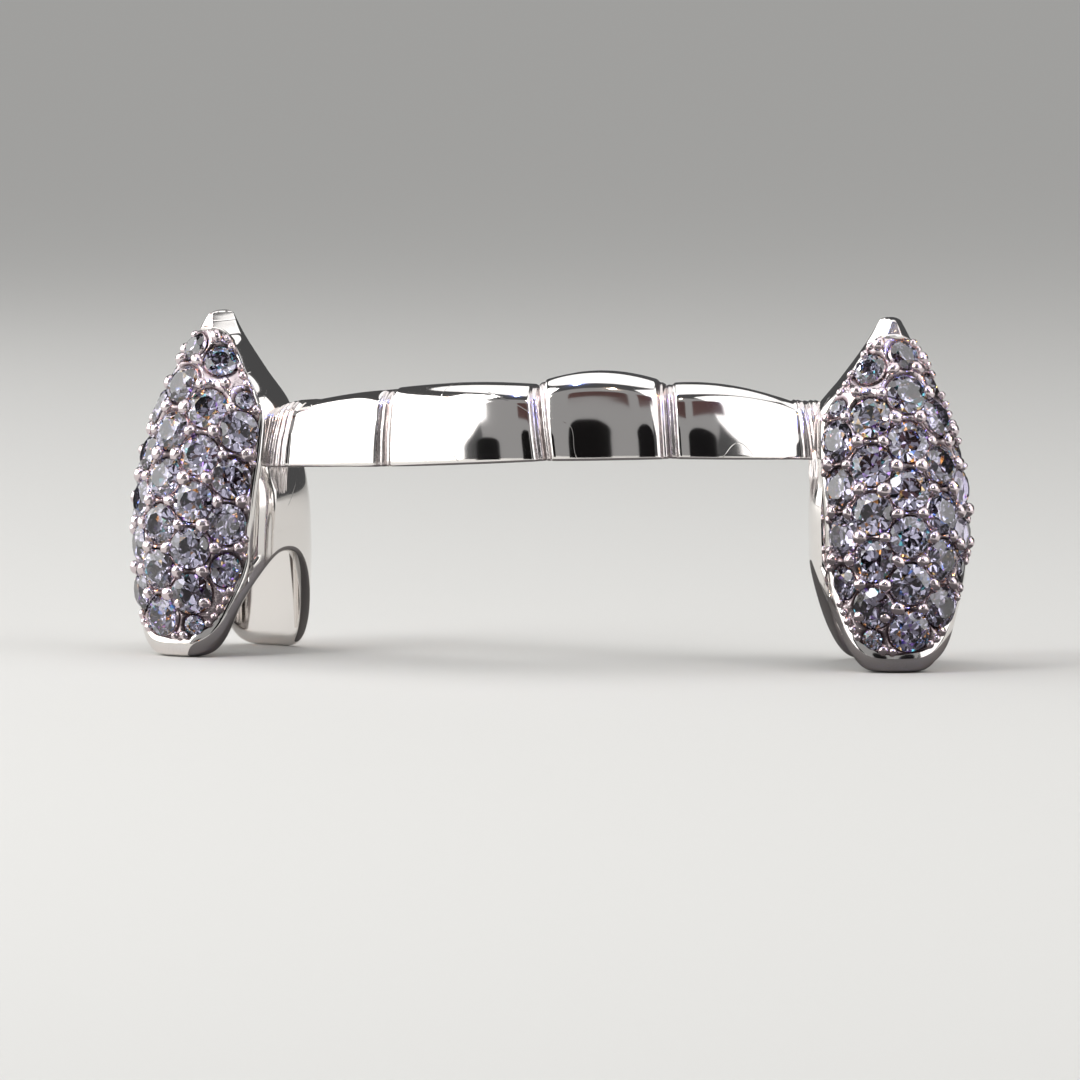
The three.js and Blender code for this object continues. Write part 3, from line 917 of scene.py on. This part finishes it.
def bar_section(top_radius, low_radius):
    """The channel section of the bar, from its lip side over the top and back through the channel."""
    high, roof = BAR_HEIGHT, BAR_HEIGHT - BAR_ROOF
    corners = (
        (0.0, 0.0, low_radius),
        (BAR_LEAN / 2, high, top_radius),
        (BAR_DEPTH - BAR_LEAN, high, top_radius),
        (BAR_DEPTH, 0.0, low_radius),
        (BAR_DEPTH - BAR_WALL, 0.0, low_radius),
        (BAR_DEPTH - BAR_WALL - BAR_LEAN, roof, ROOF_RADIUS),
        (BAR_WALL + BAR_LEAN, roof, ROOF_RADIUS),
        (BAR_WALL, 0.0, low_radius),
    )
    outline = []
    for i, (x, y, radius) in enumerate(corners):
        here = Vector((x, y))
        before = (Vector(corners[i - 1][:2]) - here).normalized()
        after = (Vector(corners[(i + 1) % len(corners)][:2]) - here).normalized()
        half = before.angle(after) / 2
        centre = here + (before + after).normalized() * (radius / math.sin(half))
        start = here + before * (radius / math.tan(half)) - centre
        sweep = start.angle_signed(here + after * (radius / math.tan(half)) - centre)
        steps = EDGE_STEPS[0] if radius > WIDE_EDGE else EDGE_STEPS[1]
        for step in range(steps + 1):
            outline.append(centre + Matrix.Rotation(-sweep * step / steps, 2) @ start)
    section = []
    for here, after in zip(outline, outline[1:] + outline[:1]):
        pieces = max(1, int((after - here).length / SECTION_STEP))
        section += [here.lerp(after, piece / pieces) for piece in range(pieces)]
    return np.array(section)


def bar_rings():
    """The rings along the bar, closer toward a lobe's ends: the lobe, the share of it, and the place."""
    for lobe in BAR_LOBES:
        for step in np.linspace(0, 1, LOBE_RINGS + 1)[:-1]:
            share = 0.5 - 0.5 * math.cos(math.pi * step)
            yield lobe, share, between(lobe.start, lobe.end, share)


def lobe_swell(x):
    """How far the bar swells toward the lips: flat in the middle of each lobe and round at its ends."""
    for start, end, swell in BAR_SWELLS:
        if start <= x <= end:
            off = abs(2 * (x - start) / (end - start) - 1)
            return swell * (1 - off**5) ** 0.6
    return 0.0


def band_rise(x, height):
    """How far the filed bands at the joints stand out of the bar, with the ridges left by the file."""
    for start, end in BAR_BANDS:
        if start < x < end:
            ridge = BAND_RIPPLE * math.cos(2 * math.pi * (x - start) / BAND_RIDGE)
            return height * (1 + ridge) * min(1, (x - start) / BAND_EDGE, (end - x) / BAND_EDGE) ** 0.5
    return 0.0


def end_flare(x, sizes):
    """How far an end of the bar has come forward at a place along it."""
    start, flare = LEFT_FLARE_START, sizes.left_flare / MM
    if x > 0:
        start, flare = RIGHT_FLARE_START, sizes.right_flare / MM
    return flare * min(max((abs(x) - start) / (ARCH_END - start), 0), 1) ** 2


def bar_mesh(sizes):
    """The bar: the channel section carried along the arch, swollen at each lobe and filed between them."""
    section = bar_section(sizes.top_radius / MM, sizes.low_radius / MM)
    level = section[:, 1] / BAR_HEIGHT
    back = section[:, 0] / BAR_DEPTH
    lip = np.clip(1 - back * GROOVE_FADE, 0, 1)
    roll = sizes.roll / MM * smooth_step(*ROLL_LEVELS, level) * 2 * np.clip(1 - back * ROLL_FADE, 0, 1)
    half, depth = sizes.groove_half / MM, sizes.groove_depth / MM
    lean_places, leans = zip(*BAR_LEANS)
    loops, filed_rings = [], set()
    for lobe, share, x in bar_rings():
        low = between(lobe.low_start, lobe.low_end, share)
        arc = (lobe.top_middle - (lobe.top_start + lobe.top_end) / 2) * 4 * share * (1 - share)
        top = between(lobe.top_start, lobe.top_end, share) + arc
        away = min(abs(x - place) for place in BAR_GROOVES) / half
        groove = depth * max(0.0, 1 - away**4) + GROOVE_RIPPLE * math.cos(away * GROOVE_RIDGES) * (away < 1)
        band = band_rise(x, sizes.band / MM)
        forward = lobe_swell(x) + end_flare(x, sizes) + band
        behind = section[:, 0] * between(lobe.deep_start, lobe.deep_end, share) + roll
        behind = behind - forward * (1 - back) + groove * lip
        height = low + (top - low) * level + (band - groove * 0.5) * smooth_step(*TOP_LEVELS, level)
        along = min(max(x, -ARCH_END), ARCH_END)
        inward = Vector((-ARCH_BEND * along, 1)).normalized()
        arch = BAR_FRONT_Y + ARCH_BEND * along * along
        across = x + np.interp(x, lean_places, leans) * (level - 0.5) + inward.x * behind
        if band > 0 or away < FILED_WIDTH:
            filed_rings.add(len(loops))
        loops.append(np.stack([across, arch + inward.y * behind, height], axis=1))
    bm = ringed(loops)
    bm.verts.index_update()
    for face in bm.faces:
        rings = {vert.index // len(section) for vert in face.verts}
        deep = max(back[vert.index % len(section)] for vert in face.verts)
        face.material_index = 1 if rings <= filed_rings and deep < FILED_DEPTH else 0
    bmesh.ops.scale(bm, vec=(MM, MM, MM), verts=bm.verts)
    return bm


class GRILLZ_OT_caps(bpy.types.Operator):
    """Make the hollow caps with their filed tips, the borders of the stone fields and the filed seams"""

    bl_idname = "grillz.caps"
    bl_label = "Fang caps"

    def execute(self, context):
        sizes = context.scene.grillz_fangs
        polish, filed = finish(rhodium_plate_polished, "polish"), finish(silver_filed, "filed")
        outline = field_outline()
        for side_name in SIDES:
            parts = {
                "cap": (cap_shell(outline, sizes.rim / MM), [polish, filed]),
                "border": (face_border(outline, sizes.border / MM, sizes.edge / MM), [polish]),
                "seam": (joint_seam(sizes.joint / MM), [filed]),
            }
            for part, (bm, finishes) in parts.items():
                finish_on_fang(side_name, part, bm, finishes, METAL_NODE, sharp=40)
        return {"FINISHED"}


class GRILLZ_OT_bar(bpy.types.Operator):
    """Make the polished bar that joins the caps"""

    bl_idname = "grillz.bar"
    bl_label = "Bar"

    def execute(self, context):
        finishes = [finish(rhodium_plate_polished, "polish"), finish(silver_filed, "filed")]
        bm = bar_mesh(context.scene.grillz_bar)
        finish_piece("bar", bm, finishes, METAL_NODE, sharp=50)
        return {"FINISHED"}


class GRILLZ_OT_settings(bpy.types.Operator):
    """Make the beds, the grains and the lips of the seats"""

    bl_idname = "grillz.settings"
    bl_label = "Stone beds and grains"

    def execute(self, context):
        sizes = context.scene.grillz_pave
        radius, sink = sizes.stone / MM, sizes.sink / MM
        outline = field_outline()
        stones = stone_places(radius)
        frames = [(face_frame(angle_along(distance, z), z), radius * size) for distance, z, size in stones]
        grains = grain_frames(stones, sizes.grain / MM)
        beads = [np.array(spot.translation) for spot in grains]
        taken = [(np.array(spot.translation), size) for spot, size in frames]
        taken += [(bead, sizes.grain / MM) for bead in beads]
        corners = border_grain_frames(outline, taken, sizes.small_grain / MM)
        grain, lip = grain_mesh(), seat_rim_mesh()
        bright_cut = finish(silver_bright_cut, "bed", "residue")
        for side_name in SIDES:
            chance = random.Random(GRAIN_SEED)
            bed = bed_sheet(outline, frames, beads, sink)
            settings = bmesh.new()
            for spots, size in ((grains, sizes.grain / MM), (corners, sizes.small_grain / MM)):
                for spot in spots:
                    widths = [size * chance.uniform(*GRAIN_SPREAD) for _ in range(3)]
                    turn = Matrix.Rotation(chance.uniform(0, math.pi), 4, "Z")
                    stamp(settings, grain, spot @ turn @ Matrix.Diagonal((*widths, 1)))
            for spot, size in frames:
                tilt = Matrix.Rotation(chance.uniform(0, 2 * math.pi), 4, "Z")
                tilt = tilt @ Matrix.Rotation(chance.uniform(*LIP_TILT), 4, "X")
                lowered = spot @ Matrix.Translation((0, 0, -sink - LIP_SINK)) @ tilt
                stamp(settings, lip, lowered @ Matrix.Diagonal((size, size, 1, 1)))
            for part, bm in (("bed", bed), ("grains", settings)):
                finish_on_fang(side_name, part, bm, [bright_cut], f"{side_name}_pave", sharp=45)
        return {"FINISHED"}


class GRILLZ_OT_stones(bpy.types.Operator):
    """Make the cut stones"""

    bl_idname = "grillz.stones"
    bl_label = "Stones"

    def execute(self, context):
        sizes = context.scene.grillz_pave
        radius = sizes.stone / MM
        stones = stone_places(radius)
        cut = brilliant_mesh()
        clear_stone = finish(cubic_zirconia)
        body = Vector(context.scene.grillz_finishes.stone)
        painted_fires = [Vector(linear(tone)) for tone in PAINTED_FIRE_COLOURS]
        for side_name in SIDES:
            chance = random.Random(STONE_SEED)
            bm = bmesh.new()
            painted_fire = bm.faces.layers.float_color.new("painted_fire")
            for distance, z, size in stones:
                lean = Matrix.Rotation(chance.uniform(-STONE_LEAN, STONE_LEAN), 4, "X")
                lean = lean @ Matrix.Rotation(chance.uniform(-STONE_LEAN, STONE_LEAN), 4, "Y")
                spin = Matrix.Rotation(chance.uniform(0, FACET_TURN), 4, "Z")
                spot = face_frame(angle_along(distance, z), z, sizes.sink / MM)
                place = spot @ lean @ spin @ Matrix.Scale(radius * size, 4)
                for face in stamp(bm, cut, place):
                    tint = body * chance.uniform(*FACET_TINT)
                    # Painted fire: a few small facets are tinted in the colours of dispersed light.
                    if face.calc_area() < SMALL_FACET * size**2 and chance.random() < PAINTED_FIRE_SHARE:
                        tint = chance.choice(painted_fires)
                    face[painted_fire] = (*tint, 1)
            finish_on_fang(side_name, "stones", bm, [clear_stone], f"{side_name}_pave")
        return {"FINISHED"}


# The photograph's view: turn and height of the camera, its distance and what it looks at, in millimetres.
VIEW_AZIMUTH = math.radians(15)
VIEW_ELEVATION = math.radians(4)
VIEW_DISTANCE = 320
VIEW_TARGET = (-0.60, 1.30, 4.71)
PIXELS_ACROSS = 1080
FOCAL_PIXELS = 8000
SENSOR = 36.0

# Soft lights: azimuth, elevation and distance of the middle, width and height, brightness, colour.
SOFT_LIGHTS = {
    "left_softbox": (-79, 23, 240, 497, 200, 2.3, "#FFFFFF"),
    "right_softbox": (80, 27, 250, 250, 254, 1.5, "#FFFFFF"),
    "left_key": (-42, 47, 230, 70, 60, 8.0, "#FFFFFF"),
    "front_fill": (10, 20, 420, 640, 400, 0.24, "#FFFFFF"),
    "spark_far_left": (-100, 32, 215, 8, 8, 250, "#FFFFFF"),
    "spark_left": (-52, 38, 215, 8, 8, 600, "#FF9A40"),
    "spark_left_low": (-30, 22, 215, 6, 6, 200, "#FFFFFF"),
    "spark_high": (-8, 62, 215, 8, 8, 600, "#8CA4FF"),
    "spark_middle": (24, 44, 215, 7, 7, 140, "#FFE6CC"),
    "spark_right": (62, 34, 215, 8, 8, 600, "#6A70FF"),
    "spark_far_right": (102, 28, 215, 8, 8, 600, "#FF9A40"),
}
# The overhead light: a very wide soft sun, so that the floor is even to the horizon.
SUN_STRENGTH = 1.35
SUN_WIDTH = math.radians(70)
SUN_TILT = math.radians(-8)
# The faint light from all round.
AMBIENT_COLOUR = (0.62, 0.63, 0.65, 1)
AMBIENT_STRENGTH = 0.12
# Half the floor's side, in metres.
FLOOR_HALF = 30
# Dark cards that the polished metal mirrors: azimuth, elevation of the middle, distance, width, height and
# corner radius.
DARK_CARDS = {
    "dark_card_left": (-24, 4, 105, 20, 33, 9),
    "dark_card_middle": (10, 9, 105, 35, 52, 12),
    "dark_card_right": (40, 9, 105, 31, 50, 14),
    "dark_card_high": (14, 31, 150, 72, 22, 8),
    "dark_card_high_right": (46, 31, 150, 40, 22, 8),
}
# The grey sheet round the part that only the metal and the stones mirror: middle, radius and height.
SHEET_MIDDLE = (6.5, -8)
SHEET_RADIUS = 21.5
SHEET_HEIGHT = 0.02
# Felt of the cards and the sheet, and board of the floor: size of their unevenness, roughness and sheen.
FELT = (2, (0.8, 1.0), 0.1)
BOARD = (60, (0.55, 0.7), 0.0)


def direction(azimuth, elevation):
    """From the object toward a point round it. Azimuth 0 is in front and 90 to the viewer's right."""
    flat = math.cos(elevation)
    return Vector((math.sin(azimuth) * flat, -math.cos(azimuth) * flat, math.sin(elevation)))


def stage_piece(name, mesh, material):
    """Stands a piece on the stage."""
    mesh.materials.append(material)
    piece = bpy.data.objects.new(name, mesh)
    bpy.context.scene.collection.objects.link(piece)
    return piece


def add_card(name, bm, place, material):
    """Stands a card on the stage, to be seen only in what mirrors it."""
    bmesh.ops.transform(bm, matrix=Matrix.Scale(MM, 4) @ place, verts=bm.verts)
    card = stage_piece(name, kept_mesh(bm, name), material)
    card.visible_camera = False
    card.visible_diffuse = False
    card.visible_shadow = False


def add_floor(hue):
    """The pale floor, without sheen."""
    bm = bmesh.new()
    bmesh.ops.create_grid(bm, x_segments=8, y_segments=8, size=FLOOR_HALF)
    board = matt_sheet("floor_matt_board", hue, *BOARD)
    stage_piece("floor", kept_mesh(bm, "floor"), board)


def add_cards():
    """The dark cards, with their upper corners rounded, and the grey sheet."""
    black = matt_sheet("felt_black", linear("#0C0C0D"), *FELT)
    brown = matt_sheet("felt_brown", linear("#5A4442"), *FELT)
    grey = matt_sheet("felt_grey", linear("#6A6868"), *FELT)
    for name, (azimuth, elevation, distance, width, height, corner) in DARK_CARDS.items():
        bm = bmesh.new()
        bmesh.ops.create_grid(bm, x_segments=1, y_segments=1, size=0.5)
        bmesh.ops.scale(bm, vec=(width, height, 1), verts=bm.verts)
        upper = [vert for vert in bm.verts if vert.co.y > 0]
        bmesh.ops.bevel(
            bm, geom=upper, offset=corner, segments=6, profile=0.5, affect="VERTICES", material=-1
        )
        ray = direction(math.radians(azimuth), math.radians(elevation))
        stand = Matrix.Rotation(math.radians(azimuth), 4, "Z") @ Matrix.Rotation(math.pi / 2, 4, "X")
        tone = brown if "high" in name else black
        add_card(name, bm, Matrix.Translation(ray * distance) @ stand, tone)
    bm = bmesh.new()
    bmesh.ops.create_circle(bm, cap_ends=True, segments=64, radius=SHEET_RADIUS)
    add_card("dark_sheet", bm, Matrix.Translation((*SHEET_MIDDLE, SHEET_HEIGHT)), grey)


def add_lights(scene):
    """The soft lights, sparks that only metal and stones mirror, the sun and a faint light all round."""
    for name, (azimuth, elevation, distance, width, height, brightness, tone) in SOFT_LIGHTS.items():
        light = bpy.data.lights.new(name, "AREA")
        light.shape = "RECTANGLE"
        light.size, light.size_y = width * MM, height * MM
        light.energy = brightness * math.pi * light.size * light.size_y
        light.color = linear(tone)
        lamp = bpy.data.objects.new(name, light)
        ray = direction(math.radians(azimuth), math.radians(elevation))
        lamp.location = ray * distance * MM
        lamp.rotation_euler = (-ray).to_track_quat("-Z", "Y").to_euler()
        lamp.visible_camera = False
        lamp.visible_diffuse = not name.startswith("spark")
        scene.collection.objects.link(lamp)
    sun = bpy.data.lights.new("overhead_sun", "SUN")
    sun.energy = SUN_STRENGTH
    sun.angle = SUN_WIDTH
    overhead = bpy.data.objects.new("overhead_sun", sun)
    overhead.rotation_euler = (SUN_TILT, 0, 0)
    scene.collection.objects.link(overhead)
    world = bpy.data.worlds.new("studio")
    world.use_nodes = True
    background = world.node_tree.nodes["Background"]
    background.inputs["Color"].default_value = AMBIENT_COLOUR
    background.inputs["Strength"].default_value = AMBIENT_STRENGTH
    scene.world = world


def add_camera(scene):
    """The camera at the photograph's angle."""
    camera = bpy.data.cameras.new("camera")
    camera.sensor_width = SENSOR
    camera.lens = SENSOR * FOCAL_PIXELS / PIXELS_ACROSS
    camera.clip_start, camera.clip_end = 0.01, 100
    eye = bpy.data.objects.new("camera", camera)
    ray = direction(VIEW_AZIMUTH, VIEW_ELEVATION)
    eye.location = (Vector(VIEW_TARGET) + ray * VIEW_DISTANCE) * MM
    eye.rotation_euler = (-ray).to_track_quat("-Z", "Y").to_euler()
    scene.collection.objects.link(eye)
    scene.camera = eye
    scene.view_settings.view_transform = "Standard"


class GRILLZ_OT_stage(bpy.types.Operator):
    """Make the floor, the dark cards, the lights and the camera"""

    bl_idname = "grillz.stage"
    bl_label = "Studio"

    def execute(self, context):
        add_floor(context.scene.grillz_finishes.floor)
        add_cards()
        add_lights(context.scene)
        add_camera(context.scene)
        return {"FINISHED"}


OPERATORS = (GRILLZ_OT_caps, GRILLZ_OT_bar, GRILLZ_OT_settings, GRILLZ_OT_stones, GRILLZ_OT_stage)
GROUPS = {
    "grillz_fangs": FangSizes,
    "grillz_bar": BarSizes,
    "grillz_pave": PaveSizes,
    "grillz_finishes": Finishes,
}


class GRILLZ_PT_sidebar(bpy.types.Panel):
    """Lists the sizes, the colours and the steps"""

    bl_idname = "GRILLZ_PT_sidebar"
    bl_label = "Front bar fang grillz"
    bl_space_type = "VIEW_3D"
    bl_region_type = "UI"
    bl_category = "Grillz"

    def draw(self, context):
        for group in GROUPS:
            values = getattr(context.scene, group)
            for name in values.bl_rna.properties.keys():
                if name not in ("rna_type", "name"):
                    self.layout.prop(values, name)
        for operator in OPERATORS:
            self.layout.operator(operator.bl_idname)


def register():
    for made in (*GROUPS.values(), *OPERATORS, GRILLZ_PT_sidebar):
        bpy.utils.register_class(made)
    for name, group in GROUPS.items():
        setattr(bpy.types.Scene, name, PointerProperty(type=group))


def unregister():
    for name in GROUPS:
        delattr(bpy.types.Scene, name)
    for made in reversed((*GROUPS.values(), *OPERATORS, GRILLZ_PT_sidebar)):
        bpy.utils.unregister_class(made)


def main():
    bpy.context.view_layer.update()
    register()
    bpy.ops.grillz.caps()
    bpy.ops.grillz.bar()
    bpy.ops.grillz.settings()
    bpy.ops.grillz.stones()
    bpy.ops.grillz.stage()


if __name__ == "__main__":
    main()
